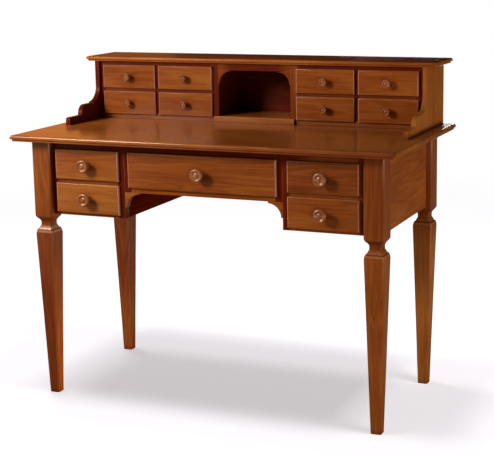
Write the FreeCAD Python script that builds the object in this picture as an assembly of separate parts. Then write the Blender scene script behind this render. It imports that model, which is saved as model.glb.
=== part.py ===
import FreeCAD, Part
import math
import os

# A bonheur du jour: a small writing table on square necked legs, with a low
# cabinet of little drawers along the back of its top.
#
# Millimetres.  X runs to the right, Y to the back and Z up.  The floor is Z = 0,
# and the origin is on the floor under the middle of the writing top.
# Every drawer slides out along -Y and is stored closed.

# ---------------------------------------------------------------- driving sizes

# Writing top
TABLE_HEIGHT = 780.0
TOP_WIDTH = 1150.0
TOP_DEPTH = 600.0
TOP_THICK = 18.0
TOP_OVERHANG_SIDE = 42.0      # past the outer faces of the legs
TOP_OVERHANG_FRONT = 46.0     # the same at the front and the back
BOARD_NOSE_RADIUS = 6.0       # round upper edge of the two moulded boards, mitred at the corners
BOARD_LIP_SHARE = 0.6         # the part of a board's thickness above its step
BOARD_STEP = 4.5              # how far the lower part of the edge stands back
BOARD_FOOT_RADIUS = 2.5       # round lower edge
BOARD_ROUND_LIMIT = 0.8       # the most of a layer's thickness that its round takes

# Legs: a square post, a narrow carved neck, then a long taper to the floor
LEG_SQUARE = 58.0
NECK_SQUARE = 35.0
FOOT_SQUARE = 30.0
LEG_ARRIS = 3.5               # flat worked on every long corner
POST_BELOW_CASE = 6.0         # plain post that shows under the case
NECK_LENGTH = 56.0            # from the plain post to the full width of the taper

# Case under the top
CASE_HEIGHT = 216.0           # height of the two drawer stacks
APRON_HEIGHT = 140.0          # height of the middle part, above the kneehole
KNEEHOLE_WIDTH = 482.0
APRON_STILE = 21.0            # on both sides of the middle drawer
PANEL_THICK = 18.0
SIDE_PANEL_SETBACK = 17.0     # from the outer faces of the legs
BACK_THICK = 12.0
BACK_SETBACK = 16.0           # from the back faces of the legs
FRAME_SETBACK = 18.0          # front frame, behind the front faces of the legs
FRAME_THICK = 18.0
OUTER_STILE = 20.0
INNER_STILE = 22.0
TOP_RAIL = 30.0
MIDDLE_RAIL = 22.0
BOTTOM_RAIL = 14.0            # also the thickness of the bottom boards
KNEE_RAIL = 20.0
DUST_BOARD = 12.0
GUIDE_HEIGHT = 14.0           # side guides for the drawer boxes
RUNNER_LEDGE = 15.0           # shelf of each runner under the middle drawer

# Rounded corners of the kneehole and of the niche
KNEE_BRACKET_RADIUS = 38.0
KNEE_BRACKET_STEP = 5.0
NICHE_ARCH_RADIUS = 37.0
NICHE_ARCH_STEP = 3.0

# Drawer cabinet on the top
HUTCH_HEIGHT = 193.0
HUTCH_DEPTH = 170.0           # of its straight sided part
HUTCH_TOP_INSET = 11.0        # ends of its top, in from the ends of the writing top
HUTCH_TOP_THICK = 15.0
HUTCH_OVERHANG_SIDE = 27.0
HUTCH_OVERHANG_FRONT = 6.0
HUTCH_SIDE = 14.0
HUTCH_BACK = 8.0
HUTCH_SETBACK = 9.0           # board edges, behind the front edges of the sides
HUTCH_BASE = 18.0
HUTCH_SHELF = 17.0
HUTCH_TOP_RAIL = 15.0
HUTCH_RAIL_THICK = 12.0
HUTCH_LINING = 17.0
NICHE_WIDTH = 234.0
NICHE_PARTITION = 23.5
MID_PARTITION = 19.5
NICHE_ARCH_RAIL = 21.0        # height of the arched rail over the niche
NICHE_SILL_REACH = 8.0        # strip under the niche, forward of the board edges
NICHE_SILL_LAP = 13.0         # past each side of the niche

# Scrolled front of the cabinet sides
SCROLL_COVE_RADIUS = 46.0     # hollow under the straight front edge
SCROLL_LOBE_HEIGHT = 52.0     # above the writing top
SCROLL_LOBE_RADIUS = 28.0
SCROLL_LOBE_LENGTH = 68.0     # from the end of the hollow to the nose of the lobe
SCROLL_FOOT_HEIGHT = 22.0
SCROLL_FOOT_REACH = 185.0     # forward of the straight front edge
SCROLL_FOOT_RADIUS = 7.0
SCROLL_BEAD = 4.0             # small upright between the hollow and the lobe

# Drawers
SLIDE_CLEARANCE = 0.3         # under a box, and between a lip and its frame
SIDE_CLEARANCE = 0.5          # beside and above whatever enters an opening

CASE_LIP_THICK = 10.0
CASE_LIP_OVERLAP = 6.0
CASE_FRONT_TENON = 8.0        # part of the front that enters the opening
CASE_LIP_RADIUS = 5.0
CASE_BOX_DEPTH = 390.0
CASE_BOX_DROP = 12.0          # box sides are this much lower than the opening
CASE_BOX_SIDE = 11.0
CASE_BOX_BOTTOM = 6.0

HUTCH_LIP_THICK = 8.0
HUTCH_LIP_OVERLAP = 4.0
HUTCH_FRONT_TENON = 6.0
HUTCH_LIP_RADIUS = 4.0
HUTCH_BOX_DEPTH = 132.0
HUTCH_BOX_DROP = 8.0
HUTCH_BOX_SIDE = 8.0
HUTCH_BOX_BOTTOM = 4.0

BOX_BOTTOM_LIFT = 6.0         # groove height of every drawer bottom

# Turned knobs
CASE_KNOB_RADIUS = 19.0
CASE_KNOB_LENGTH = 27.0
HUTCH_KNOB_RADIUS = 12.0
HUTCH_KNOB_LENGTH = 21.0

SAME_PLACE = 1e-6             # tolerance for finding edges

# ---------------------------------------------------------------- worked-out places

leg_x = TOP_WIDTH / 2 - TOP_OVERHANG_SIDE - LEG_SQUARE / 2
leg_y = TOP_DEPTH / 2 - TOP_OVERHANG_FRONT - LEG_SQUARE / 2
leg_outer_x = leg_x + LEG_SQUARE / 2
leg_inner_x = leg_x - LEG_SQUARE / 2
leg_outer_y = leg_y + LEG_SQUARE / 2
leg_inner_y = leg_y - LEG_SQUARE / 2

under_top_z = TABLE_HEIGHT - TOP_THICK
case_bottom_z = under_top_z - CASE_HEIGHT
apron_bottom_z = under_top_z - APRON_HEIGHT

frame_front_y = -leg_outer_y + FRAME_SETBACK
frame_back_y = frame_front_y + FRAME_THICK
back_outer_y = leg_outer_y - BACK_SETBACK
back_inner_y = back_outer_y - BACK_THICK

knee_x = KNEEHOLE_WIDTH / 2
knee_panel_x = knee_x + PANEL_THICK
side_panel_outer_x = leg_outer_x - SIDE_PANEL_SETBACK
side_panel_inner_x = side_panel_outer_x - PANEL_THICK

centre_x = knee_x - APRON_STILE
stack_inner_x = knee_x + INNER_STILE
stack_outer_x = leg_inner_x - OUTER_STILE

openings_top_z = under_top_z - TOP_RAIL
stack_bottom_z = case_bottom_z + BOTTOM_RAIL
stack_opening = (openings_top_z - stack_bottom_z - MIDDLE_RAIL) / 2
lower_row_top_z = stack_bottom_z + stack_opening
upper_row_bottom_z = lower_row_top_z + MIDDLE_RAIL
centre_bottom_z = apron_bottom_z + KNEE_RAIL

hutch_top_z = TABLE_HEIGHT + HUTCH_HEIGHT
hutch_ceiling_z = hutch_top_z - HUTCH_TOP_THICK
hutch_back_y = TOP_DEPTH / 2
hutch_front_y = hutch_back_y - HUTCH_DEPTH
hutch_face_y = hutch_front_y + HUTCH_SETBACK
hutch_inner_back_y = hutch_back_y - HUTCH_BACK
hutch_top_width = TOP_WIDTH - 2 * HUTCH_TOP_INSET
hutch_outer_x = hutch_top_width / 2 - HUTCH_OVERHANG_SIDE
hutch_inner_x = hutch_outer_x - HUTCH_SIDE

hutch_floor_z = TABLE_HEIGHT + HUTCH_BASE
hutch_rail_z = hutch_ceiling_z - HUTCH_TOP_RAIL
hutch_opening = (hutch_rail_z - hutch_floor_z - HUTCH_SHELF) / 2
hutch_shelf_z = hutch_floor_z + hutch_opening

niche_x = NICHE_WIDTH / 2
column_width = (hutch_inner_x - HUTCH_LINING - MID_PARTITION - NICHE_PARTITION - niche_x) / 2
inner_column_x = niche_x + NICHE_PARTITION
mid_partition_x = inner_column_x + column_width
outer_column_x = mid_partition_x + MID_PARTITION
lining_x = outer_column_x + column_width


# ---------------------------------------------------------------- helpers

def box(x0, x1, y0, y1, z0, z1):
    """A block between two opposite corners, given as ranges."""
    return Part.makeBox(x1 - x0, y1 - y0, z1 - z0, FreeCAD.Vector(x0, y0, z0))


def mirrored(shape):
    """The same piece on the other side of the middle plane."""
    return shape.mirror(FreeCAD.Vector(0, 0, 0), FreeCAD.Vector(1, 0, 0))


def both_sides(shape):
    return [shape, mirrored(shape)]


def outline_face(segments, place):
    """A face from a closed run of segments.

    Each segment is a list of two points for a straight line, or three for an
    arc through the middle one.  place turns a pair of numbers into a vector.
    """
    edges = []
    for points in segments:
        vectors = [place(*point) for point in points]
        if len(vectors) == 3:
            edges.append(Part.Arc(*vectors).toShape())
        else:
            edges.append(Part.makeLine(*vectors))
    return Part.Face(Part.Wire(edges))


def quarter(centre, radius, from_degrees, to_degrees):
    """Three points on the arc from one direction to another about a centre."""
    points = []
    for degrees in (from_degrees, (from_degrees + to_degrees) / 2, to_degrees):
        angle = math.radians(degrees)
        points.append((centre[0] + radius * math.cos(angle), centre[1] + radius * math.sin(angle)))
    return points


def moulded_board(width, front_y, back_y, bottom_z, thick):
    """A flat board whose edge has a round nose over a stepped, smaller lower part."""
    top_z = bottom_z + thick
    step_z = bottom_z + thick * (1 - BOARD_LIP_SHARE)
    nose_radius = min(BOARD_NOSE_RADIUS, (top_z - step_z) * BOARD_ROUND_LIMIT)
    foot_radius = min(BOARD_FOOT_RADIUS, (step_z - bottom_z) * BOARD_ROUND_LIMIT)

    nose = box(-width / 2, width / 2, front_y, back_y, step_z, top_z)
    nose = fillet_edges(nose, nose_radius, lambda edge: is_level_at(edge, top_z))
    foot = box(-width / 2 + BOARD_STEP, width / 2 - BOARD_STEP,
               front_y + BOARD_STEP, back_y - BOARD_STEP, bottom_z, step_z)
    foot = fillet_edges(foot, foot_radius, lambda edge: is_level_at(edge, bottom_z))
    return nose.fuse(foot).removeSplitter()


def is_level_at(edge, z):
    return all(abs(vertex.Point.z - z) < SAME_PLACE for vertex in edge.Vertexes)


def is_in_face(edge, y):
    return all(abs(vertex.Point.y - y) < SAME_PLACE for vertex in edge.Vertexes)


def fillet_edges(shape, radius, wanted):
    edges = [edge for edge in shape.Edges if wanted(edge)]
    return shape.makeFillet(radius, edges)


# ---------------------------------------------------------------- legs

def leg_outline(inset):
    """Half of the leg seen from one side, as (half width, height) segments.

    inset narrows the whole outline, which gives the outline of the corner flats.
    """
    full = LEG_SQUARE / 2 - inset
    neck = NECK_SQUARE / 2 - inset
    foot = FOOT_SQUARE / 2 - inset
    post_z = case_bottom_z - POST_BELOW_CASE
    taper_z = post_z - NECK_LENGTH
    shoulder_z = taper_z + 0.27 * NECK_LENGTH
    neck_low_z = taper_z + 0.48 * NECK_LENGTH
    neck_high_z = taper_z + 0.66 * NECK_LENGTH
    turn_z = taper_z + 0.83 * NECK_LENGTH
    shoulder = neck + 0.70 * (full - neck)
    ledge = neck + 0.54 * (full - neck)
    turn = neck + 0.48 * (full - neck)
    return [
        [(foot, 0), (full, taper_z)],
        [(full, taper_z), (full - 0.08 * (full - neck), (taper_z + shoulder_z) / 2), (shoulder, shoulder_z)],
        [(shoulder, shoulder_z), (ledge, shoulder_z)],
        [(ledge, shoulder_z), (neck, neck_low_z)],
        [(neck, neck_low_z), (neck, neck_high_z)],
        [(neck, neck_high_z), (neck + 0.16 * (full - neck), (neck_high_z + turn_z) / 2), (turn, turn_z)],
        [(turn, turn_z), (turn + 0.66 * (full - turn), (turn_z + post_z) / 2), (full, post_z)],
        [(full, post_z), (full, under_top_z)],
    ]


def leg_slab(inset, stretch):
    """The leg's outline made symmetric, stretched sideways and given a wide depth."""
    half = leg_outline(inset)
    other = [[(-u, z) for u, z in reversed(points)] for points in reversed(half)]
    top_half, foot_half = half[-1][-1][0], half[0][0][0]
    closing = [[(top_half, under_top_z), (-top_half, under_top_z)]]
    floor = [[(-foot_half, 0), (foot_half, 0)]]
    depth = 2 * LEG_SQUARE
    face = outline_face(half + closing + other + floor, lambda u, z: FreeCAD.Vector(u, -depth / 2, z))
    widen = FreeCAD.Matrix()
    widen.A11 = stretch
    if stretch != 1:
        face = face.transformGeometry(widen)
    return face.extrude(FreeCAD.Vector(0, depth, 0))


def make_leg():
    """One leg about the Z axis: four shaped faces with a narrow flat on each corner."""
    up = FreeCAD.Vector(0, 0, 1)
    here = FreeCAD.Vector(0, 0, 0)
    faces = leg_slab(0, 1)
    flats = leg_slab(LEG_ARRIS / 2, math.sqrt(2))
    leg = faces
    for slab, degrees in ((faces, 90), (flats, 45), (flats, -45)):
        turned = slab.copy()
        turned.rotate(here, up, degrees)
        leg = leg.common(turned)
    return leg.Solids[0]


def make_legs():
    leg = make_leg()
    legs = {}
    for front_back, y in (("front", -leg_y), ("back", leg_y)):
        for side, x in (("left", -leg_x), ("right", leg_x)):
            placed = leg.copy()
            placed.translate(FreeCAD.Vector(x, y, 0))
            legs[f"leg_{front_back}_{side}"] = [placed]
    return legs


# ---------------------------------------------------------------- case under the top

def make_panels():
    side = box(side_panel_inner_x, side_panel_outer_x, -leg_inner_y, leg_inner_y, case_bottom_z, under_top_z)
    knee = box(knee_x, knee_panel_x, frame_back_y, back_inner_y, case_bottom_z, under_top_z)
    apron_back = box(-leg_inner_x, leg_inner_x, back_inner_y, back_outer_y, apron_bottom_z, under_top_z)
    stack_back = box(knee_x, leg_inner_x, back_inner_y, back_outer_y, case_bottom_z, apron_bottom_z)
    return {
        "side_panel_left": [mirrored(side)],
        "side_panel_right": [side],
        "knee_panel_left": [mirrored(knee)],
        "knee_panel_right": [knee],
        "back_panel": [apron_back] + both_sides(stack_back),
    }


def frame_member(x0, x1, z0, z1):
    return box(x0, x1, frame_front_y, frame_back_y, z0, z1)


def make_front_frame():
    """Stiles and rails round the five drawer openings of the case."""
    outer_stile = frame_member(stack_outer_x, leg_inner_x, case_bottom_z, under_top_z)
    inner_stile = frame_member(knee_x, stack_inner_x, case_bottom_z, under_top_z)
    apron_stile = frame_member(centre_x, knee_x, apron_bottom_z, under_top_z)
    members = both_sides(outer_stile) + both_sides(inner_stile) + both_sides(apron_stile)
    for z0, z1 in ((case_bottom_z, stack_bottom_z), (lower_row_top_z, upper_row_bottom_z),
                   (openings_top_z, under_top_z)):
        members += both_sides(frame_member(stack_inner_x, stack_outer_x, z0, z1))
    members.append(frame_member(-centre_x, centre_x, openings_top_z, under_top_z))
    members.append(frame_member(-centre_x, centre_x, apron_bottom_z, centre_bottom_z))
    return {"front_frame": members}


def make_knee_brackets():
    """A hollow-cut bracket in each upper corner of the kneehole."""
    step, radius = KNEE_BRACKET_STEP, KNEE_BRACKET_RADIUS
    centre = (knee_x - step - radius, apron_bottom_z - step - radius)
    segments = [
        [(knee_x, apron_bottom_z), (centre[0], apron_bottom_z)],
        [(centre[0], apron_bottom_z), (centre[0], centre[1] + radius)],
        quarter(centre, radius, 90, 0),
        [(centre[0] + radius, centre[1]), (knee_x, centre[1])],
        [(knee_x, centre[1]), (knee_x, apron_bottom_z)],
    ]
    face = outline_face(segments, lambda x, z: FreeCAD.Vector(x, frame_front_y, z))
    return {"knee_brackets": both_sides(face.extrude(FreeCAD.Vector(0, FRAME_THICK, 0)))}


def stack_board(z0, z1):
    """A full-depth board between the knee panel and the side panel, let in round the legs."""
    board = box(knee_panel_x, side_panel_inner_x, frame_back_y, back_inner_y, z0, z1)
    for y0, y1 in ((-leg_outer_y, -leg_inner_y), (leg_inner_y, leg_outer_y)):
        board = board.cut(box(leg_inner_x, leg_outer_x, y0, y1, z0, z1))
    return board


def make_runners():
    """The boards, guides and ledges that carry the five case drawers."""
    pieces = both_sides(stack_board(case_bottom_z, stack_bottom_z))
    pieces += both_sides(stack_board(upper_row_bottom_z - DUST_BOARD, upper_row_bottom_z))
    for z in (stack_bottom_z, upper_row_bottom_z):
        pieces += both_sides(box(knee_panel_x, stack_inner_x, frame_back_y, back_inner_y, z, z + GUIDE_HEIGHT))
        pieces += both_sides(box(stack_outer_x, side_panel_inner_x, -leg_inner_y, leg_inner_y, z,
                                 z + GUIDE_HEIGHT))
    ledge_x = centre_x - RUNNER_LEDGE
    ledge_z = centre_bottom_z - DUST_BOARD
    guide_z = centre_bottom_z + GUIDE_HEIGHT
    corners = [(knee_x, ledge_z), (knee_x, guide_z), (centre_x, guide_z), (centre_x, centre_bottom_z),
               (ledge_x, centre_bottom_z), (ledge_x, ledge_z)]
    segments = [[corners[i - 1], corners[i]] for i in range(len(corners))]
    section = outline_face(segments, lambda x, z: FreeCAD.Vector(x, frame_back_y, z))
    pieces += both_sides(section.extrude(FreeCAD.Vector(0, back_inner_y - frame_back_y, 0)))
    return {"drawer_runners": pieces}


# ---------------------------------------------------------------- cabinet on the top

def make_hutch_side():
    """The right-hand side: straight behind, scrolled forward over the top in front."""
    z0 = TABLE_HEIGHT
    lobe_z = z0 + SCROLL_LOBE_HEIGHT
    foot_z = z0 + SCROLL_FOOT_HEIGHT
    cove_y = hutch_front_y - SCROLL_COVE_RADIUS
    cove_low_z = lobe_z + SCROLL_BEAD
    cove_high_z = cove_low_z + SCROLL_COVE_RADIUS
    nose_y = cove_y - SCROLL_LOBE_LENGTH
    lobe_centre = (nose_y + SCROLL_LOBE_RADIUS, lobe_z - SCROLL_LOBE_RADIUS)
    foot_y = hutch_front_y - SCROLL_FOOT_REACH
    toe_centre = (foot_y + SCROLL_FOOT_RADIUS, foot_z - SCROLL_FOOT_RADIUS)
    segments = [
        [(hutch_back_y, z0), (hutch_back_y, hutch_ceiling_z)],
        [(hutch_back_y, hutch_ceiling_z), (hutch_front_y, hutch_ceiling_z)],
        [(hutch_front_y, hutch_ceiling_z), (hutch_front_y, cove_high_z)],
        quarter((cove_y, cove_high_z), SCROLL_COVE_RADIUS, 0, -90),
        [(cove_y, cove_low_z), (cove_y, lobe_z)],
        [(cove_y, lobe_z), (lobe_centre[0], lobe_z)],
        quarter(lobe_centre, SCROLL_LOBE_RADIUS, 90, 180),
        [(nose_y, lobe_centre[1]), (nose_y, foot_z)],
        [(nose_y, foot_z), (toe_centre[0], foot_z)],
        quarter(toe_centre, SCROLL_FOOT_RADIUS, 90, 180),
        [(foot_y, toe_centre[1]), (foot_y, z0)],
        [(foot_y, z0), (hutch_back_y, z0)],
    ]
    face = outline_face(segments, lambda y, z: FreeCAD.Vector(hutch_inner_x, y, z))
    return face.extrude(FreeCAD.Vector(HUTCH_SIDE, 0, 0))


def make_niche_arch():
    """The rail over the niche, cut to a flat arch with stepped round corners."""
    step, radius = NICHE_ARCH_STEP, NICHE_ARCH_RADIUS
    top_z = hutch_ceiling_z - NICHE_ARCH_RAIL
    centre = (niche_x - step - radius, top_z - step - radius)
    left = (-centre[0], centre[1])
    segments = [
        [(-niche_x, hutch_ceiling_z), (niche_x, hutch_ceiling_z)],
        [(niche_x, hutch_ceiling_z), (niche_x, centre[1])],
        [(niche_x, centre[1]), (niche_x - step, centre[1])],
        quarter(centre, radius, 0, 90),
        [(centre[0], top_z - step), (centre[0], top_z)],
        [(centre[0], top_z), (left[0], top_z)],
        [(left[0], top_z), (left[0], top_z - step)],
        quarter(left, radius, 90, 180),
        [(step - niche_x, centre[1]), (-niche_x, centre[1])],
        [(-niche_x, centre[1]), (-niche_x, hutch_ceiling_z)],
    ]
    face = outline_face(segments, lambda x, z: FreeCAD.Vector(x, hutch_face_y, z))
    return face.extrude(FreeCAD.Vector(0, HUTCH_RAIL_THICK, 0))


def make_hutch():
    def board(x0, x1, z0, z1, y1=hutch_inner_back_y):
        return box(x0, x1, hutch_face_y, y1, z0, z1)

    side = make_hutch_side()
    sill_x = niche_x + NICHE_SILL_LAP
    sill = box(-sill_x, sill_x, hutch_face_y - NICHE_SILL_REACH, hutch_face_y, TABLE_HEIGHT, hutch_floor_z)
    back = box(-hutch_inner_x, hutch_inner_x, hutch_inner_back_y, hutch_back_y, TABLE_HEIGHT, hutch_ceiling_z)
    partitions = []
    for x0, x1 in ((niche_x, inner_column_x), (mid_partition_x, outer_column_x), (lining_x, hutch_inner_x)):
        partitions += both_sides(board(x0, x1, hutch_floor_z, hutch_ceiling_z))
    shelves = []
    rails = []
    for x0, x1 in ((inner_column_x, mid_partition_x), (outer_column_x, lining_x)):
        shelves += both_sides(board(x0, x1, hutch_shelf_z, hutch_shelf_z + HUTCH_SHELF))
        rails += both_sides(board(x0, x1, hutch_rail_z, hutch_ceiling_z, hutch_face_y + HUTCH_RAIL_THICK))
    return {
        "hutch_top": [moulded_board(hutch_top_width, hutch_front_y - HUTCH_OVERHANG_FRONT,
                                    hutch_back_y, hutch_ceiling_z, HUTCH_TOP_THICK)],
        "hutch_side_left": [mirrored(side)],
        "hutch_side_right": [side],
        "hutch_back": [back],
        "hutch_base": [board(-hutch_inner_x, hutch_inner_x, TABLE_HEIGHT, hutch_floor_z), sill],
        "hutch_partitions": partitions,
        "hutch_shelves": shelves,
        "hutch_rails": rails + [make_niche_arch()],
    }


# ---------------------------------------------------------------- drawers

def chords(points, count):
    """An arc through three points as a run of straight segments, which keeps a small part light."""
    vectors = [FreeCAD.Vector(*point, 0) for point in points]
    stations = Part.Arc(*vectors).discretize(count + 1)
    corners = [points[0]] + [(place.x, place.y) for place in stations[1:-1]] + [points[-1]]
    return [list(pair) for pair in zip(corners, corners[1:])]


def make_knob(radius, length, x, face_y, z):
    """A turned knob: a foot ring, a slim hollow waist and a round-rimmed head, dished round a button."""
    foot, foot_out = 0.62 * radius, 0.08 * length
    waist, waist_out = 0.40 * radius, 0.32 * length
    shoulder, shoulder_out = 0.93 * radius, 0.70 * length
    rim_out = 0.84 * length
    lip = 0.78 * radius
    groove, groove_out = 0.46 * radius, 0.87 * length
    button, button_out = 0.20 * radius, 0.95 * length
    profile = [[(0, 0), (foot, 0)], [(foot, 0), (foot, foot_out)]]
    profile += chords([(foot, foot_out), (waist, waist_out), (shoulder, shoulder_out)], 4)
    profile += chords([(shoulder, shoulder_out), (radius, rim_out), (lip, length)], 3)
    profile += [[(lip, length), (groove, groove_out)], [(groove, groove_out), (button, button_out)]]
    profile += [[(button, button_out), (0, button_out)], [(0, button_out), (0, 0)]]
    face = outline_face(profile, lambda r, out: FreeCAD.Vector(x + r, face_y - out, z))
    return face.revolve(FreeCAD.Vector(x, face_y, z), FreeCAD.Vector(0, 1, 0), 360)


def make_drawer(opening, frame_y, lip, overlap, lip_radius, tenon, depth, drop, side, bottom, knob):
    """The three pieces of one drawer, closed in an opening given as (x0, x1, z0, z1)."""
    x0, x1, z0, z1 = opening
    lip_back_y = frame_y - SLIDE_CLEARANCE
    face_y = lip_back_y - lip
    tenon_back_y = frame_y + tenon

    slab = box(x0 - overlap, x1 + overlap, face_y, lip_back_y, z0 - overlap, z1 + overlap)
    slab = fillet_edges(slab, lip_radius, lambda edge: is_in_face(edge, face_y))
    plug = box(x0 + SIDE_CLEARANCE, x1 - SIDE_CLEARANCE, lip_back_y, tenon_back_y,
               z0 + SLIDE_CLEARANCE, z1 - SIDE_CLEARANCE)
    front = slab.fuse(plug).removeSplitter()

    outer0, outer1 = x0 + SIDE_CLEARANCE, x1 - SIDE_CLEARANCE
    low_z = z0 + SLIDE_CLEARANCE
    high_z = z1 - drop
    back_y = tenon_back_y + depth
    floor_z = low_z + BOX_BOTTOM_LIFT
    pieces = [
        box(outer0, outer0 + side, tenon_back_y, back_y, low_z, high_z),
        box(outer1 - side, outer1, tenon_back_y, back_y, low_z, high_z),
        box(outer0 + side, outer1 - side, back_y - side, back_y, low_z, high_z),
        box(outer0 + side, outer1 - side, tenon_back_y, back_y - side, floor_z, floor_z + bottom),
    ]
    radius, length = knob
    turned = make_knob(radius, length, (x0 + x1) / 2, face_y, (z0 + z1) / 2)
    return [front], pieces, [turned]


def case_drawer(opening):
    return make_drawer(opening, frame_front_y, CASE_LIP_THICK, CASE_LIP_OVERLAP, CASE_LIP_RADIUS,
                       CASE_FRONT_TENON, CASE_BOX_DEPTH, CASE_BOX_DROP, CASE_BOX_SIDE, CASE_BOX_BOTTOM,
                       (CASE_KNOB_RADIUS, CASE_KNOB_LENGTH))


def hutch_drawer(opening):
    return make_drawer(opening, hutch_face_y, HUTCH_LIP_THICK, HUTCH_LIP_OVERLAP, HUTCH_LIP_RADIUS,
                       HUTCH_FRONT_TENON, HUTCH_BOX_DEPTH, HUTCH_BOX_DROP, HUTCH_BOX_SIDE, HUTCH_BOX_BOTTOM,
                       (HUTCH_KNOB_RADIUS, HUTCH_KNOB_LENGTH))


def flipped(span):
    return (-span[1], -span[0])


def make_drawers():
    """All thirteen drawers, named by place: rows from the top, columns from the left."""
    stack = (stack_inner_x, stack_outer_x)
    upper = (upper_row_bottom_z, openings_top_z)
    lower = (stack_bottom_z, lower_row_top_z)
    drawers = {
        "case_left_upper": case_drawer(flipped(stack) + upper),
        "case_left_lower": case_drawer(flipped(stack) + lower),
        "case_centre": case_drawer((-centre_x, centre_x, centre_bottom_z, openings_top_z)),
        "case_right_upper": case_drawer(stack + upper),
        "case_right_lower": case_drawer(stack + lower),
    }
    inner = (inner_column_x, mid_partition_x)
    outer = (outer_column_x, lining_x)
    rows = (("upper", (hutch_shelf_z + HUTCH_SHELF, hutch_rail_z)), ("lower", (hutch_floor_z, hutch_shelf_z)))
    for row, heights in rows:
        for number, span in enumerate((flipped(outer), flipped(inner), inner, outer), start=1):
            drawers[f"hutch_{row}_{number}"] = hutch_drawer(span + heights)
    return drawers


# ---------------------------------------------------------------- all sub-parts

def make_parts():
    parts = {"writing_top": [moulded_board(TOP_WIDTH, -TOP_DEPTH / 2, TOP_DEPTH / 2, under_top_z, TOP_THICK)]}
    for group in (make_legs(), make_panels(), make_front_frame(), make_knee_brackets(), make_runners(),
                  make_hutch()):
        parts.update(group)
    for name, (front, pieces, knob) in make_drawers().items():
        parts[f"{name}_front"] = front
        parts[f"{name}_box"] = pieces
        parts[f"{name}_knob"] = knob
    return parts


os.makedirs("parts", exist_ok=True)
for node, solids in make_parts().items():
    shape = solids[0] if len(solids) == 1 else Part.makeCompound(solids)
    shape.exportStep(f"parts/{node}.step")
    print(node, len(solids), round(shape.Volume))
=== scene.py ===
import math

import bpy
from mathutils import Matrix, Vector


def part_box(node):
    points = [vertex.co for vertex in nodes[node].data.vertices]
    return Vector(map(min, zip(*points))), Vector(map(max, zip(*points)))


# The finish, light and camera for a bonheur du jour of lacquered wood.
# Everything is in metres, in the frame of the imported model.

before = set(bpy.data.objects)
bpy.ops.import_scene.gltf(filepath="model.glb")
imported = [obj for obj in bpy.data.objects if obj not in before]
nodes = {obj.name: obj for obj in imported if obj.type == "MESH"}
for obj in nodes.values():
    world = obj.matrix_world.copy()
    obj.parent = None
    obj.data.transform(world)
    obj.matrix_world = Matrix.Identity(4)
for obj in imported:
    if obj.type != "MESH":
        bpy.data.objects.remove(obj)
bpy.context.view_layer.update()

# ---------------------------------------------------------------- camera values

# Where the camera stands, and how it is turned, in degrees
CAMERA_PLACE = Vector((1.553, -3.428, 1.290))
CAMERA_AZIMUTH = 22.83
CAMERA_PITCH = 10.77
CAMERA_ROLL = -0.90
CAMERA_LENS = 95.2
CAMERA_SHIFT = (-0.05, -0.06)
SENSOR = 36.0

# ---------------------------------------------------------------- wood values

# The dark, middle and light colour of each kind of wood, as scene-linear values. FRAMING is partly a darker
# wood and partly painted shade; MAROON is painted shade, laid where shade falls and on the knee panels
LACQUERED = ((0.140, 0.024, 0.0035), (0.285, 0.068, 0.009), (0.410, 0.138, 0.023))
FRAMING = ((0.085, 0.010, 0.002), (0.220, 0.045, 0.006), (0.330, 0.088, 0.014))
MAROON = ((0.060, 0.003, 0.0005), (0.115, 0.009, 0.001), (0.175, 0.022, 0.003))
KNOB_WOOD = ((0.145, 0.034, 0.009), (0.300, 0.097, 0.031), (0.450, 0.180, 0.072))
LINING = ((0.420, 0.250, 0.110), (0.560, 0.370, 0.190), (0.680, 0.490, 0.280))
COLOUR_STOPS = (0.25, 0.55, 0.85)   # the tones at which those three colours lie
# Painted shade, laid in inner corners, in the legs' groove and under the maroon shade
DARK_SHADE_COLOUR = (0.125, 0.006, 0.001)
# Pale colour of worn edges, which also paints highlights on edges, lips and ledges
PALE_WEAR_AND_HIGHLIGHT = (0.480, 0.212, 0.085)
# Painted highlight on the ends of the drawer fronts' rounded edges
LIP_END_HIGHLIGHT = (0.620, 0.300, 0.170)

# Pattern noises: scale along the grain and across it, then detail and roughness
FIGURE = (2.2, 26.0, 3.0, 0.45)
FIBRES = (9.0, 420.0, 3.0, 0.6)
PORES = (55.0, 1900.0, 2.0, 0.5)
BLOTCH = (2.4, 7.0, 2.0, 0.5)
FIGURE_WARP = 0.35
RING_TURNS = 46.0                   # radians of the rings' sine over the whole figure
PORE_RANGE = (0.40, 0.28)           # the noise at which a pore begins, and at which it is full

# How far a board's own stretch of grain may be moved, and the step and start of each sine that moves it
SEED_REACH = 7.0
SEED_WAVES = ((12.9, 0.0), (78.2, 1.0), (37.7, 2.0))

# How much each part of the pattern moves a board's tone
RING_SHARE = 0.14
FIBRE_SHARE = 0.36
BLOTCH_SHARE = 0.55
TONE_START = 0.02
TONE_SHARE = 0.5
PORE_DARKNESS = 0.35

# Relief and roughness
BUMP_STRENGTH = 0.25
BUMP_HEIGHT = 0.0004
FIBRE_RELIEF = 0.5
PORE_RELIEF = -0.6
BOARD_ROUGHNESS = 0.30
LINING_ROUGHNESS = 0.52
KNOB_ROUGHNESS = 0.22
BLOTCH_ROUGHNESS = 0.16             # added to those where a blotch is full
PORE_ROUGHNESS = 0.12               # and where a pore is

# Paler outer edges, worn and with a painted highlight, and painted shade in the inner corners
EDGE_RADIUS = 0.0016
EDGE_RANGE = (0.995, 0.80)          # how well the bevelled normal agrees with the true one
CORNER_REACH = 0.024
CORNER_RANGE = (0.85, 0.25)         # how open a place is
BEVEL_SAMPLES = 6
CORNER_SAMPLES = 8
# How pale the outer edges are: wear, and a painted highlight
EDGE_WEAR_AND_HIGHLIGHT = 0.35
LINING_WEAR_AND_HIGHLIGHT = 0.1
# How much painted shade lies in the inner corners of most boards, and of thin parts
BOARD_CORNER_SHADE = 0.85
THIN_CORNER_SHADE = 0.30

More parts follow.
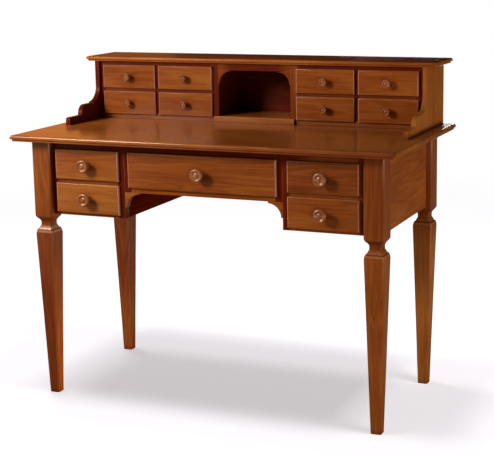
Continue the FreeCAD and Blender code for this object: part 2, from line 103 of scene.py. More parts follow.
# The rounded edges of a drawer front, found by the way that they face, which get a painted highlight
LIP_HIGHLIGHT_SHARE = 0.75
LIP_RANGE = (0.97, 0.50)            # how squarely a face points forward
LIP_ASIDE = (0.20, 0.60)            # how squarely it points aside

# Clear coat: its strength and its roughness, then the specular level of the wood under it
BODY_GLOSS = (0.50, 0.17, 0.32)
FRAME_GLOSS = (0.05, 0.25, 0.12)
PANEL_GLOSS = (0.28, 0.20, 0.20)
TOP_GLOSS = (0.60, 0.13, 0.32)
HUTCH_TOP_GLOSS = (0.10, 0.15, 0.10)
SMALL_DRAWER_GLOSS = (0.45, 0.17, 0.12)
KNOB_GLOSS = (0.18, 0.28, 0.50)
LINING_GLOSS = (0.0, 0.3, 0.12)
NO_GLOSS = (0.0, 0.3, 0.0)
COAT_IOR = 1.5
SPECULAR_TINT = (1.0, 0.62, 0.42)

# ---------------------------------------------------------------- places of painted shade and highlight

BOX_PLAY = 0.0005                   # between a drawer's box and its opening
FACE_DEPTH = 0.001                  # how deep a face's finish reaches
NICHE_HALF = 0.117                  # from the middle to the niche's uprights
NICHE_POST = 0.024                  # and how thick those are

# Heights on the carved part of a leg
NECK = (0.512, 0.534)               # the narrow neck, which gets painted shade
LEDGE = (0.500, 0.507)              # the face over the ledge, which gets a painted highlight
GROOVE = (0.4970, 0.4985)           # the line of painted shade at the ledge's foot
SHOULDER = (0.4915, 0.4950)         # the round under that line, which gets a painted highlight
NECK_BLUR = 0.010
HIGHLIGHT_BLUR = 0.002
GROOVE_BLUR = 0.001
# Shares of painted shade on the neck, and in the groove at the ledge's foot
NECK_SHADE = 0.60
GROOVE_SHADE = 0.75

# Ramps of painted shade in the maroon colours: two places along an axis, then its share at each
POST_LIMIT = (0.53, 0.56, 0.75, 0.40)
FRONT_RIGHT_LEG = (0.506, 0.566, 0.0, 0.40)
BACK_LEFT_LEG = (0.12, 0.26, 0.0, 0.50)
BACK_RIGHT_LEG = (0.42, 0.53, 0.0, 0.75)
FRONT_LEFT_LIMIT = (0.58, 0.50, 0.0, 0.55)
FRONT_LEFT_SIDES = (0.24, 0.42, 0.05, 0.55)
TOP_ACROSS = (-0.50, 0.0, 0.0, 0.22)
NOSE_ACROSS = (-0.05, 0.45, 0.0, 0.60)

# Other shares of that painted shade, and how far from a named place they begin and end
FRONT_LEFT_FACE = 0.55              # on the front left leg's front and back faces
CABINET_TOP_FACE = 0.80             # on the cabinet top's upper face
NOSE_DEPTH = (0.018, 0.010)         # behind the writing top's front edge
ARCH_INSET = (0.01, 0.04)           # inside the niche's uprights
ARCH_SHADE = (0.30, 0.95)
RIGHT_STACK_FADE = 0.08             # past the right stack's inner edge
RIGHT_STACK_SHADE = (1.0, 0.30)

# ---------------------------------------------------------------- room values

LAMP_COLOUR = (1.0, 0.95, 0.88)
CARD_COLOUR = (1.0, 0.33, 0.07)
PLAIN_WHITE = (1.0, 1.0, 1.0)
FLOOR_LAMP_Z = 6.0
MIDDLE = (0.0, 0.0, 0.0)            # of the floor, under the desk

# Lamps: place, the point each looks at, width, height, watts, colour and the collection it lights
LAMPS = {
    "key": ((-1.29, -1.68, 1.72), (0.0, -0.2, 0.6), 0.60, 0.60, 40.0, LAMP_COLOUR, "without_floor"),
    "left_fill": ((-1.55, -0.8, 1.25), (-0.3, -0.1, 0.8), 0.6, 0.6, 4.0, LAMP_COLOUR, "without_floor"),
    "right_fill": ((2.5, 0.15, 0.45), (0.5, 0.0, 0.6), 0.9, 0.7, 18.5, LAMP_COLOUR, "without_floor"),
    "low_fill": ((-2.4, -1.9, 0.35), (-0.2, 0.0, 0.7), 0.7, 0.5, 7.0, LAMP_COLOUR, "without_floor"),
    "rim": ((2.5, -0.55, 0.55), (0.3, -0.2, 0.6), 0.8, 0.8, 5.0, LAMP_COLOUR, "without_floor"),
    "front_fill": ((1.6, -2.0, 0.35), (0.4, 0.0, 0.4), 0.8, 0.7, 12.0, LAMP_COLOUR, "without_floor"),
    "back_fill": ((-0.2, 2.9, 0.55), (0.0, 0.3, 0.6), 1.0, 0.9, 30.0, LAMP_COLOUR, "without_floor"),
    "warm_card": ((-2.45, 2.9, 1.25), (-0.4, 0.0, 0.8), 1.4, 0.8, 2.8, CARD_COLOUR, "without_floor"),
    "between_legs": ((0.05, -0.10, 0.12), (-0.5, -0.10, 0.12), 0.30, 0.20, 1.8, LAMP_COLOUR, "left_legs"),
    "beside_leg": ((-0.18, -0.20, 0.06), (-0.5, -0.20, 0.10), 0.15, 0.10, 0.5, LAMP_COLOUR, "left_leg"),
    "over_left_end": ((-1.00, -0.30, 1.65), (-0.50, -0.10, 0.85), 0.5, 0.5, 6.0, LAMP_COLOUR, "tops"),
    "top": ((-0.3, -0.7, 3.1), (0.0, 0.0, 0.5), 2.2, 1.6, 4.0, LAMP_COLOUR, "without_floor"),
    "floor_light_0": ((-0.45, -0.85, FLOOR_LAMP_Z), MIDDLE, 0.9, 0.9, 92.0, PLAIN_WHITE, "floor_only"),
    "floor_light_1": ((-1.35, 0.85, FLOOR_LAMP_Z), MIDDLE, 0.9, 0.9, 76.0, PLAIN_WHITE, "floor_only"),
    "floor_light_2": ((1.90, -0.45, FLOOR_LAMP_Z), MIDDLE, 0.9, 0.9, 92.0, PLAIN_WHITE, "floor_only"),
    "floor_light_above": ((-0.6, 0.55, 5.0), MIDDLE, 3.6, 3.0, 12.0, PLAIN_WHITE, "floor_only"),
}
NOT_MIRRORED = ("right_fill", "between_legs", "beside_leg", "over_left_end")

# The nodes in the collections of the small lamps
LIT_NODES = {
    "left_legs": ("leg_front_left", "leg_back_left"),
    "left_leg": ("leg_front_left",),
    "tops": ("writing_top", "hutch_top", "hutch_base"),
}

FLOOR_HALF = 40.0
FLOOR_NEAR = 1.8                    # the floor takes shadows out to here
FLOOR_FAR = 4.0                     # and is plain white past here
FLOOR_PAPER = (0.22, 0.15, 0.10)    # its colour to all rays but the camera's
FLOOR_SHADED = (0.86, 0.86, 0.88)   # its colour to the camera, near the desk
FLOOR_GLOW = (1.0, 0.96, 1.0)       # and a glow that keeps its shadows pale
FLOOR_GLOW_STRENGTH = 0.56
ROOM_COLOUR = (1.0, 0.85, 0.70)
ROOM_STRENGTH = 0.025

SMOOTH_ANGLE = 32.0                 # degrees, past which an edge stays sharp
MERGE_DISTANCE = 1e-6

AXES = {"X": 0, "Y": 1, "Z": 2}

# ---------------------------------------------------------------- node helpers


def feed(tree, socket, value):
    """Give a socket another node's socket, a number, a vector or a colour of three numbers."""
    if isinstance(value, bpy.types.NodeSocket):
        tree.links.new(value, socket)
    elif socket.type == "RGBA":
        socket.default_value = (*value, 1.0)
    else:
        socket.default_value = value


def add_node(tree, kind, inputs=None, **settings):
    """A shader node with its settings and its inputs."""
    made = tree.nodes.new(kind)
    for key, value in settings.items():
        setattr(made, key, value)
    for key, value in (inputs or {}).items():
        feed(tree, made.inputs[key], value)
    return made


def math_node(tree, operation, first, second=0.0, third=0.0):
    made = add_node(tree, "ShaderNodeMath", {0: first, 1: second, 2: third}, operation=operation)
    return made.outputs[0]


def mix_value(tree, factor, first, second):
    made = add_node(tree, "ShaderNodeMix", {0: factor, 2: first, 3: second}, data_type="FLOAT")
    return made.outputs[0]


def mix_colour(tree, factor, first, second):
    made = add_node(tree, "ShaderNodeMix", {0: factor, 6: first, 7: second}, data_type="RGBA")
    return made.outputs[2]


def remap(tree, value, low, high, new_low=0.0, new_high=1.0):
    made = add_node(tree, "ShaderNodeMapRange", {0: value, 1: low, 2: high, 3: new_low, 4: new_high})
    return made.outputs[0]


def band(tree, value, limits, blur):
    """1 between two limits, which falls to 0 over a short way outside them."""
    rising = remap(tree, value, limits[0] - blur, limits[0])
    falling = remap(tree, value, limits[1], limits[1] + blur, 1.0, 0.0)
    return math_node(tree, "MINIMUM", rising, falling)


def coordinate(tree, vector, axis):
    return add_node(tree, "ShaderNodeSeparateXYZ", {0: vector}).outputs[axis]


def distance_aside(tree, place):
    """How far each point is from the desk's middle plane."""
    return math_node(tree, "ABSOLUTE", coordinate(tree, place, "X"))


def facing(tree, axis):
    """How squarely each face points along an axis, either way."""
    normal = add_node(tree, "ShaderNodeTexCoord").outputs["Normal"]
    return math_node(tree, "ABSOLUTE", coordinate(tree, normal, axis))


def tone_colour(tree, tone, colours):
    """The colour of a wood at each tone, from its dark colour to its light one."""
    made = add_node(tree, "ShaderNodeValToRGB", {0: tone})
    elements = made.color_ramp.elements
    elements.new(COLOUR_STOPS[1])
    for element, position, colour in zip(elements, COLOUR_STOPS, colours):
        element.position = position
        element.color = (*colour, 1.0)
    return made.outputs[0]


# ---------------------------------------------------------------- pattern

def seed_for(number):
    """A fixed offset that gives each board its own stretch of grain."""
    return tuple(math.sin(step * number + start) * SEED_REACH for step, start in SEED_WAVES)


def grain_noise(tree, place, grain, seed, values, warp=0.0):
    """Noise that is stretched along a board's grain."""
    along_scale, across_scale, detail, roughness = values
    scale = [across_scale] * 3
    scale[AXES[grain]] = along_scale
    stretched = add_node(tree, "ShaderNodeMapping", {"Vector": place, "Location": seed, "Scale": scale})
    made = add_node(tree, "ShaderNodeTexNoise", {
        "Vector": stretched.outputs[0], "Scale": 1.0, "Detail": detail, "Roughness": roughness,
        "Distortion": warp})
    return made.outputs[0]


def wood_pattern(tree, place, grain, seed):
    """Growth rings, fibres, pores and blotches of a board, each from 0 to 1."""
    figure = grain_noise(tree, place, grain, seed, FIGURE, FIGURE_WARP)
    rings = math_node(tree, "SINE", math_node(tree, "MULTIPLY", figure, RING_TURNS))
    rings = remap(tree, rings, -1.0, 1.0)
    fibres = grain_noise(tree, place, grain, seed, FIBRES)
    pores = grain_noise(tree, place, grain, seed, PORES)
    blotch = grain_noise(tree, place, grain, seed, BLOTCH)
    return rings, fibres, pores, blotch


def along(grain):
    """The pattern of a board whose grain runs along one axis."""
    def pattern(tree, place, seed):
        return wood_pattern(tree, place, grain, seed)
    return pattern


def frame_joints():
    """Distances from the middle plane at which the front frame's stiles begin and end."""
    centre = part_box("case_centre_box")[1][0] + BOX_PLAY
    low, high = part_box("case_right_upper_box")
    return centre, low[0] - BOX_PLAY, high[0] + BOX_PLAY


def frame_stiles(tree, place):
    """1 on the front frame's stiles, 0 on its rails."""
    centre, inner, outer = frame_joints()
    aside = distance_aside(tree, place)
    past_centre = math_node(tree, "GREATER_THAN", aside, centre)
    before_stack = math_node(tree, "LESS_THAN", aside, inner)
    inner_stiles = math_node(tree, "MULTIPLY", past_centre, before_stack)
    return math_node(tree, "MAXIMUM", inner_stiles, math_node(tree, "GREATER_THAN", aside, outer))


def stiles_and_rails(tree, place, seed):
    """Upright grain on the front frame's stiles and level grain on its rails."""
    upright = frame_stiles(tree, place)
    pairs = zip(wood_pattern(tree, place, "X", seed), wood_pattern(tree, place, "Z", seed))
    return [mix_value(tree, upright, level, standing) for level, standing in pairs]


# ---------------------------------------------------------------- painted shade in maroon

def painted_shade_on_frame(tree, place):
    """Painted shade: 1 on the front frame's stiles and top rail, less along the right stack, 0 on its other
    rails.
    """
    inner = frame_joints()[1]
    top_rail_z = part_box("case_centre_front")[1][2]
    top_rail = math_node(tree, "GREATER_THAN", coordinate(tree, place, "Z"), top_rail_z)
    dark = math_node(tree, "MAXIMUM", frame_stiles(tree, place), top_rail)
    fade_end = inner + RIGHT_STACK_FADE
    fade = remap(tree, coordinate(tree, place, "X"), inner, fade_end, *RIGHT_STACK_SHADE)
    return math_node(tree, "MULTIPLY", dark, fade)


def painted_shade_on_neck(tree, z):
    """A share of painted shade on a leg's neck."""
    return math_node(tree, "MULTIPLY", band(tree, z, NECK, NECK_BLUR), NECK_SHADE)


def painted_shade_up_the_leg(ramp):
    """Painted shade: a share on a leg's neck, and one that grows up the leg along a ramp, within a limit on
    its post.
    """
    def painted_shade(tree, place):
        z = coordinate(tree, place, "Z")
        upper = math_node(tree, "MINIMUM", remap(tree, z, *POST_LIMIT), remap(tree, z, *ramp))
        return math_node(tree, "MAXIMUM", painted_shade_on_neck(tree, z), upper)
    return painted_shade


def painted_shade_on_front_left_leg(tree, place):
    """Painted shade: a share on a leg's neck, on its front and back faces and up its sides, to the foot of
    its post.
    """
    z = coordinate(tree, place, "Z")
    face = math_node(tree, "MULTIPLY", facing(tree, "Y"), FRONT_LEFT_FACE)
    taper = math_node(tree, "MAXIMUM", face, remap(tree, z, *FRONT_LEFT_SIDES))
    taper = math_node(tree, "MINIMUM", remap(tree, z, *FRONT_LEFT_LIMIT), taper)
    return math_node(tree, "MAXIMUM", painted_shade_on_neck(tree, z), taper)


def painted_shade_on_rails(tree, place):
    """Painted shade: 1 on the cabinet's rails over the drawers, and on the arched rail a share that grows to
    its middle.
    """
    aside = distance_aside(tree, place)
    outer, inner = ARCH_INSET
    arch = remap(tree, aside, NICHE_HALF - outer, NICHE_HALF - inner, *ARCH_SHADE)
    return math_node(tree, "MAXIMUM", arch, math_node(tree, "GREATER_THAN", aside, NICHE_HALF))


def painted_shade_on_left_side(tree, place):
    """Painted shade: 1 on the inner face and the front edge of the cabinet's left side, 0 on its outer face.
    """
    outer_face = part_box("hutch_side_left")[0][0] + FACE_DEPTH
    return math_node(tree, "GREATER_THAN", coordinate(tree, place, "X"), outer_face)


def painted_shade_on_writing_top(tree, place):
    """Painted shade: a share that grows from the writing top's left end to its middle, and on its nose to
    the right.
    """
    x = coordinate(tree, place, "X")
    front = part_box("writing_top")[0][1]
    behind, before = NOSE_DEPTH
    nose = remap(tree, coordinate(tree, place, "Y"), front + behind, front + before)
    nose = math_node(tree, "MULTIPLY", nose, remap(tree, x, *NOSE_ACROSS))
    return math_node(tree, "MAXIMUM", remap(tree, x, *TOP_ACROSS), nose)


def painted_shade_on_cabinet_top(tree, place):
    """Painted shade: a large share on the cabinet top's upper face, and on its edges one that grows to the
    middle.
    """
    upper_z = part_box("hutch_top")[1][2] - FACE_DEPTH
    upper = math_node(tree, "GREATER_THAN", coordinate(tree, place, "Z"), upper_z)
    across = remap(tree, coordinate(tree, place, "X"), *TOP_ACROSS)
    return math_node(tree, "MAXIMUM", across, math_node(tree, "MULTIPLY", upper, CABINET_TOP_FACE))


def painted_shade_on_back(tree, place):
    """Painted shade: 1 on the front face of the cabinet's back, inside the niche, 0 on its rear face."""
    rear_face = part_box("hutch_back")[1][1] - FACE_DEPTH
    return math_node(tree, "LESS_THAN", coordinate(tree, place, "Y"), rear_face)


def painted_shade_on_partitions(tree, place):
    """Painted shade: 1 on the cabinet's uprights but the one to the right of the niche."""
    x = coordinate(tree, place, "X")
    left = math_node(tree, "LESS_THAN", x, 0.0)
    return math_node(tree, "MAXIMUM", left, math_node(tree, "GREATER_THAN", x, NICHE_HALF + NICHE_POST))


# ---------------------------------------------------------------- wood

def edge_and_corner(tree):
    """A rounded normal, and how much of an outer edge and of an inner corner lies at each point."""
    bevel = add_node(tree, "ShaderNodeBevel", {"Radius": EDGE_RADIUS}, samples=BEVEL_SAMPLES)
    geometry = add_node(tree, "ShaderNodeNewGeometry")
    dot = add_node(tree, "ShaderNodeVectorMath", {0: bevel.outputs[0], 1: geometry.outputs["Normal"]},
                   operation="DOT_PRODUCT")
    edge = remap(tree, dot.outputs["Value"], *EDGE_RANGE)
    occlusion = add_node(tree, "ShaderNodeAmbientOcclusion", {"Distance": CORNER_REACH},
                         samples=CORNER_SAMPLES)
    corner = remap(tree, occlusion.outputs["AO"], *CORNER_RANGE)
    return bevel.outputs[0], edge, corner


def pattern_tone(tree, rings, fibres, blotch, tone):
    """The pattern's tone at each point, on a board that may be lighter or darker than the rest."""
    tonal = math_node(tree, "MULTIPLY", rings, RING_SHARE)
    tonal = math_node(tree, "MULTIPLY_ADD", fibres, FIBRE_SHARE, tonal)
    tonal = math_node(tree, "MULTIPLY_ADD", blotch, BLOTCH_SHARE, tonal)
    return math_node(tree, "ADD", tonal, TONE_START + TONE_SHARE * (tone - 1.0))


def paint_lip_highlights(tree, colour):
    """A painted highlight on the rounded edges of a drawer front, strongest at its two ends."""
    turned = remap(tree, facing(tree, "Y"), *LIP_RANGE, 0.0, LIP_HIGHLIGHT_SHARE)
    colour = mix_colour(tree, turned, colour, PALE_WEAR_AND_HIGHLIGHT)
    return mix_colour(tree, remap(tree, facing(tree, "X"), *LIP_ASIDE), colour, LIP_END_HIGHLIGHT)


def paint_ledge_light_and_shade(tree, colour, place, shares):
    """Painted highlights on a leg's ledge and shoulder, with a line of painted shade between them."""
    z = coordinate(tree, place, "Z")
    for share, limits in zip(shares, (LEDGE, SHOULDER)):
        highlighted = math_node(tree, "MULTIPLY", band(tree, z, limits, HIGHLIGHT_BLUR), share)
        colour = mix_colour(tree, highlighted, colour, PALE_WEAR_AND_HIGHLIGHT)
    groove = math_node(tree, "MULTIPLY", band(tree, z, GROOVE, GROOVE_BLUR), GROOVE_SHADE)
    return mix_colour(tree, groove, colour, DARK_SHADE_COLOUR)


def wood_material(name, colours, pattern, seed, tone=1.0, gloss=BODY_GLOSS, roughness=BOARD_ROUGHNESS,
                  edge_wear_and_highlight=EDGE_WEAR_AND_HIGHLIGHT, corner_shade=BOARD_CORNER_SHADE, painted_shade=None, ledge_highlights=None, lip_highlights=False):
    """A board's finish.

    The pattern function makes the wood's pattern, and the shade function gives the share, from 0 to 1,
    of painted shade, in the dark maroon colours and with the full painted corner shade.  The ledge shares
    say how strong the painted highlights on a leg's ledge and shoulder are, and the lip switch paints
    highlights on the rounded edges of a drawer front.
    """
    material = bpy.data.materials.new(name)
    material.use_nodes = True
    tree = material.node_tree
    place = add_node(tree, "ShaderNodeTexCoord").outputs["Object"]
    rings, fibres, pores, blotch = pattern(tree, place, seed)
    bevel_normal, edge, corner = edge_and_corner(tree)

    tonal = pattern_tone(tree, rings, fibres, blotch, tone)
    colour = tone_colour(tree, tonal, colours)
    # Painted shade: the maroon colours, and full corner shade, where shade falls on the board
    if painted_shade:
        shade_share = painted_shade(tree, place)
        colour = mix_colour(tree, shade_share, colour, tone_colour(tree, tonal, MAROON))
        corner_shade = math_node(tree, "MULTIPLY_ADD", shade_share, BOARD_CORNER_SHADE - corner_shade, corner_shade)
    pore = remap(tree, pores, *PORE_RANGE)
    colour = mix_colour(tree, math_node(tree, "MULTIPLY", pore, PORE_DARKNESS), colour, colours[0])
    # Paler outer edges: wear, and a painted highlight
    colour = mix_colour(tree, math_node(tree, "MULTIPLY", edge, edge_wear_and_highlight), colour, PALE_WEAR_AND_HIGHLIGHT)
    # Painted highlight on the drawer front's rounded edges
    if lip_highlights:
        colour = paint_lip_highlights(tree, colour)
    # Painted highlights and shade on a leg's ledge
    if ledge_highlights:
        colour = paint_ledge_light_and_shade(tree, colour, place, ledge_highlights)
    # Painted shade in the inner corners
    colour = mix_colour(tree, math_node(tree, "MULTIPLY", corner, corner_shade), colour, DARK_SHADE_COLOUR)

    shine = math_node(tree, "MULTIPLY_ADD", blotch, BLOTCH_ROUGHNESS, roughness)
    shine = math_node(tree, "MULTIPLY_ADD", pore, PORE_ROUGHNESS, shine)
    pits = math_node(tree, "MULTIPLY", pore, PORE_RELIEF)
    relief = math_node(tree, "MULTIPLY_ADD", fibres, FIBRE_RELIEF, pits)
    bump = add_node(tree, "ShaderNodeBump", {
        "Strength": BUMP_STRENGTH, "Distance": BUMP_HEIGHT, "Height": relief, "Normal": bevel_normal})

    coat, coat_roughness, specular = gloss
    shader_inputs = {
        "Base Color": colour,
        "Roughness": shine,
        "Normal": bump.outputs[0],
        "Specular IOR Level": specular,
        "Specular Tint": SPECULAR_TINT,
        "Coat Weight": coat,
        "Coat Roughness": coat_roughness,
        "Coat IOR": COAT_IOR,
    }
    shader = tree.nodes["Principled BSDF"]
    for key, value in shader_inputs.items():
        feed(tree, shader.inputs[key], value)
    return material


# ---------------------------------------------------------------- finish of each piece

# Each board's grain, its tone (over 1 is lighter) and its gloss; its place here numbers its seed. The tones
# are partly the wood's own and partly painted light and shade, lighter where more light falls and darker
# where less does
BOARDS = {
    "writing_top": ("X", 1.24, TOP_GLOSS),
    "hutch_top": ("X", 1.30, HUTCH_TOP_GLOSS),
    "hutch_base": ("X", 1.30, BODY_GLOSS),
    "hutch_shelves": ("X", 1.0, FRAME_GLOSS),
    "hutch_rails": ("X", 1.0, FRAME_GLOSS),
    "hutch_back": ("X", 0.80, FRAME_GLOSS),
    "back_panel": ("X", 1.0, PANEL_GLOSS),
    "knee_brackets": ("X", 1.0, BODY_GLOSS),
    "front_frame": ("X", 0.95, FRAME_GLOSS),
    "side_panel_left": ("Y", 1.0, PANEL_GLOSS),
    "side_panel_right": ("Y", 1.0, PANEL_GLOSS),
    "knee_panel_left": ("Y", 1.0, NO_GLOSS),
    "knee_panel_right": ("Y", 1.0, NO_GLOSS),
    "leg_front_left": ("Z", 0.90, BODY_GLOSS),
    "leg_front_right": ("Z", 1.15, BODY_GLOSS),
    "leg_back_left": ("Z", 0.70, BODY_GLOSS),
    "leg_back_right": ("Z", 1.22, BODY_GLOSS),
    "hutch_side_left": ("Z", 1.0, FRAME_GLOSS),
    "hutch_side_right": ("Z", 1.25, PANEL_GLOSS),
    "hutch_partitions": ("Z", 1.0, FRAME_GLOSS),
}
# Each drawer front's tone, partly the wood's own and partly painted light and shade, as on the darker front
# of the right upper drawer
FRONT_TONES = {
    "case_left_upper_front": 1.15,
    "case_left_lower_front": 1.15,
    "case_centre_front": 0.97,
    "case_right_upper_front": 0.66,
    "case_right_lower_front": 1.0,
    "hutch_upper_1_front": 1.0,
    "hutch_upper_2_front": 1.20,
    "hutch_upper_3_front": 1.08,
    "hutch_upper_4_front": 1.0,
    "hutch_lower_1_front": 1.05,
    "hutch_lower_2_front": 1.10,
    "hutch_lower_3_front": 1.05,
    "hutch_lower_4_front": 0.98,
}
LINING_SEED = 99
KNOB_SEED = 55

# What sets some boards apart from plain lacquered wood. The darker colours are painted shade on the knee
# panels and partly painted shade on the cabinet's uprights and shelves
PATTERNS = {"front_frame": stiles_and_rails}
WOODS = {
    "hutch_partitions": FRAMING,
    "hutch_shelves": FRAMING,
    "knee_panel_left": MAROON,
    "knee_panel_right": MAROON,
}
# Where painted shade in the maroon colours lies on each board
PAINTED_SHADES = {
    "writing_top": painted_shade_on_writing_top,
    "hutch_top": painted_shade_on_cabinet_top,
    "hutch_rails": painted_shade_on_rails,
    "hutch_back": painted_shade_on_back,
    "hutch_side_left": painted_shade_on_left_side,
    "hutch_partitions": painted_shade_on_partitions,
    "front_frame": painted_shade_on_frame,
    "leg_front_left": painted_shade_on_front_left_leg,
    "leg_front_right": painted_shade_up_the_leg(FRONT_RIGHT_LEG),
    "leg_back_left": painted_shade_up_the_leg(BACK_LEFT_LEG),
    "leg_back_right": painted_shade_up_the_leg(BACK_RIGHT_LEG),
}
# Thin parts get less painted shade in their corners
CORNER_SHADES = {"front_frame": THIN_CORNER_SHADE, "hutch_rails": THIN_CORNER_SHADE, "hutch_partitions": THIN_CORNER_SHADE}

# How strong the painted highlight is on each leg's ledge and on its shoulder
LEDGE_HIGHLIGHTS = {
    "leg_front_left": (0.60, 0.60),
    "leg_front_right": (0.12, 0.35),
    "leg_back_left": (0.12, 0.30),
    "leg_back_right": (0.12, 0.30),
}


def finish_node(name, material):
    node = nodes[name]
    node.data.materials.clear()
    node.data.materials.append(material)


def finish_boards():
    for number, (name, (grain, tone, gloss)) in enumerate(BOARDS.items(), start=1):
        pattern = PATTERNS.get(name, along(grain))
        finish_node(name, wood_material(
            f"lacquered_{name}", WOODS.get(name, LACQUERED), pattern, seed_for(number), tone, gloss,
            corner_shade=CORNER_SHADES.get(name, BOARD_CORNER_SHADE), painted_shade=PAINTED_SHADES.get(name), ledge_highlights=LEDGE_HIGHLIGHTS.get(name)))


def finish_drawers():
    """The drawers' lining and knobs, and their fronts, whose seeds' numbers follow the boards'."""
    lining = wood_material("drawer_lining", LINING, along("Y"), seed_for(LINING_SEED),
                           gloss=LINING_GLOSS, roughness=LINING_ROUGHNESS, edge_wear_and_highlight=LINING_WEAR_AND_HIGHLIGHT)
    knob = wood_material("turned_knob", KNOB_WOOD, along("Y"), seed_for(KNOB_SEED),
                         gloss=KNOB_GLOSS, roughness=KNOB_ROUGHNESS)
    fronts = [name for name in nodes if name.endswith("_front")]
    for number, name in enumerate(fronts, start=len(BOARDS) + 1):
        gloss = SMALL_DRAWER_GLOSS if name.startswith("hutch") else BODY_GLOSS
        finish_node(name, wood_material(f"lacquered_{name}", LACQUERED, along("X"), seed_for(number),
                                        FRONT_TONES[name], gloss, lip_highlights=True))
    for name in nodes:
        if name.endswith("_knob"):
            finish_node(name, knob)
        elif name.endswith("_box") or name == "drawer_runners":
            finish_node(name, lining)


# ---------------------------------------------------------------- smooth shading

def smooth_group():
    """Geometry nodes that smooth a surface except across its sharp edges."""
    group = bpy.data.node_groups.new("smooth_by_angle", "GeometryNodeTree")
    group.interface.new_socket("Geometry", in_out="INPUT", socket_type="NodeSocketGeometry")
    group.interface.new_socket("Geometry", in_out="OUTPUT", socket_type="NodeSocketGeometry")
    start = group.nodes.new("NodeGroupInput")
    end = group.nodes.new("NodeGroupOutput")
    merge = group.nodes.new("GeometryNodeMergeByDistance")
    merge.inputs["Distance"].default_value = MERGE_DISTANCE
    angle = group.nodes.new("GeometryNodeInputMeshEdgeAngle")
    sharp = group.nodes.new("FunctionNodeCompare")
    sharp.data_type = "FLOAT"
    sharp.operation = "GREATER_THAN"
    sharp.inputs[1].default_value = math.radians(SMOOTH_ANGLE)
    faces = group.nodes.new("GeometryNodeSetShadeSmooth")
    faces.domain = "FACE"
    edges = group.nodes.new("GeometryNodeSetShadeSmooth")
    edges.domain = "EDGE"
    edges.inputs["Shade Smooth"].default_value = False
    link = group.links.new
    link(start.outputs[0], merge.inputs["Geometry"])
    link(merge.outputs[0], faces.inputs["Geometry"])
    link(faces.outputs[0], edges.inputs["Geometry"])
    link(angle.outputs["Unsigned Angle"], sharp.inputs[0])
    link(sharp.outputs[0], edges.inputs["Selection"])
    link(edges.outputs[0], end.inputs[0])
    return group


def smooth_all():
    group = smooth_group()
    for node in nodes.values():
        modifier = node.modifiers.new("smooth", "NODES")
        modifier.node_group = group


# ---------------------------------------------------------------- room

def by_ray(tree, to_camera, to_others):
    """One shader for the camera's rays, and another for all other rays."""
    path = add_node(tree, "ShaderNodeLightPath")
    both = add_node(tree, "ShaderNodeMixShader", {
        0: path.outputs["Is Camera Ray"], 1: to_others.outputs[0], 2: to_camera.outputs[0]})
    return both.outputs[0]


def floor_material():
    """White to the camera but for the shadows near the desk, and dim paper to all other rays."""
    material = bpy.data.materials.new("floor")
    material.use_nodes = True
    tree = material.node_tree
    tree.nodes.clear()
    paper = add_node(tree, "ShaderNodeBsdfDiffuse", {"Color": FLOOR_PAPER})
    shaded = add_node(tree, "ShaderNodeBsdfDiffuse", {"Color": FLOOR_SHADED})
    glow = add_node(tree, "ShaderNodeEmission", {"Color": FLOOR_GLOW, "Strength": FLOOR_GLOW_STRENGTH})
    near = add_node(tree, "ShaderNodeAddShader", {0: shaded.outputs[0], 1: glow.outputs[0]})
    white = add_node(tree, "ShaderNodeEmission", {"Color": PLAIN_WHITE, "Strength": 1.0})
    place = add_node(tree, "ShaderNodeTexCoord").outputs["Object"]
    distance = add_node(tree, "ShaderNodeVectorMath", {0: place}, operation="LENGTH").outputs["Value"]
    fade = add_node(tree, "ShaderNodeMapRange", {0: distance, 1: FLOOR_NEAR, 2: FLOOR_FAR, 3: 0.0, 4: 1.0},
                    interpolation_type="SMOOTHSTEP")
    seen = add_node(tree, "ShaderNodeMixShader", {
        0: fade.outputs[0], 1: near.outputs[0], 2: white.outputs[0]})
    add_node(tree, "ShaderNodeOutputMaterial", {0: by_ray(tree, seen, paper)})
    return material


def make_floor():
    mesh = bpy.data.meshes.new("floor")
    half = FLOOR_HALF
    corners = [(-half, -half, 0), (half, -half, 0), (half, half, 0), (-half, half, 0)]
    mesh.from_pydata(corners, [], [(0, 1, 2, 3)])
    mesh.materials.append(floor_material())
    floor = bpy.data.objects.new("floor", mesh)
    bpy.context.scene.collection.objects.link(floor)
    return floor


def make_world():
    """White to the camera, and a faint warm room to all other rays."""
    world = bpy.data.worlds.new("studio")
    bpy.context.scene.world = world
    world.use_nodes = True
    tree = world.node_tree
    tree.nodes.clear()
    room = add_node(tree, "ShaderNodeBackground", {"Color": ROOM_COLOUR, "Strength": ROOM_STRENGTH})
    white = add_node(tree, "ShaderNodeBackground", {"Color": PLAIN_WHITE, "Strength": 1.0})
    add_node(tree, "ShaderNodeOutputWorld", {0: by_ray(tree, white, room)})


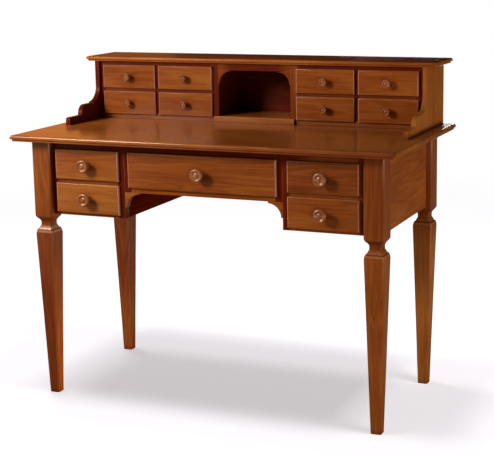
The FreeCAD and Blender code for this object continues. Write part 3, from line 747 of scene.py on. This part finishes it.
def softbox(name, place, target, width, height, watts, colour):
    light = bpy.data.lights.new(name, "AREA")
    light.shape = "RECTANGLE"
    light.size = width
    light.size_y = height
    light.energy = watts
    light.color = colour
    lamp = bpy.data.objects.new(name, light)
    lamp.location = place
    lamp.visible_camera = False
    lamp.rotation_euler = (Vector(target) - Vector(place)).to_track_quat("-Z", "Y").to_euler()
    bpy.context.scene.collection.objects.link(lamp)
    return lamp


def make_receivers(floor):
    """The collections that lamps light: all but the floor, the floor alone, or some nodes."""
    members = {"without_floor": [floor], "floor_only": [floor]}
    for collection, names in LIT_NODES.items():
        members[collection] = [nodes[name] for name in names]
    receivers = {}
    for collection, lit in members.items():
        receivers[collection] = bpy.data.collections.new(collection)
        for member in lit:
            receivers[collection].objects.link(member)
    receivers["without_floor"].collection_objects[0].light_linking.link_state = "EXCLUDE"
    return receivers


def make_lights(floor):
    """A key from the front left, fills all round and above, small lamps for parts, lamps for the floor."""
    receivers = make_receivers(floor)
    for name, (place, target, width, height, watts, colour, collection) in LAMPS.items():
        lamp = softbox(name, place, target, width, height, watts, colour)
        lamp.visible_glossy = name not in NOT_MIRRORED
        lamp.light_linking.receiver_collection = receivers[collection]


def make_camera():
    azimuth, pitch, roll = (math.radians(value) for value in (CAMERA_AZIMUTH, CAMERA_PITCH, CAMERA_ROLL))
    right = Vector((math.cos(azimuth), math.sin(azimuth), 0.0))
    level = math.cos(pitch)
    ahead = Vector((-math.sin(azimuth) * level, math.cos(azimuth) * level, -math.sin(pitch)))
    up = right.cross(ahead)
    turned_right = math.cos(roll) * right + math.sin(roll) * up
    turned_up = -math.sin(roll) * right + math.cos(roll) * up
    data = bpy.data.cameras.new("camera")
    data.sensor_width = SENSOR
    data.lens = CAMERA_LENS
    data.shift_x, data.shift_y = CAMERA_SHIFT
    camera = bpy.data.objects.new("camera", data)
    columns = Matrix((turned_right, turned_up, -ahead)).transposed().to_4x4()
    camera.matrix_world = Matrix.Translation(CAMERA_PLACE) @ columns
    bpy.context.scene.collection.objects.link(camera)
    bpy.context.scene.camera = camera


# ---------------------------------------------------------------- all together

finish_boards()
finish_drawers()
smooth_all()
make_world()
make_lights(make_floor())
make_camera()
bpy.context.scene.view_settings.view_transform = "Standard"
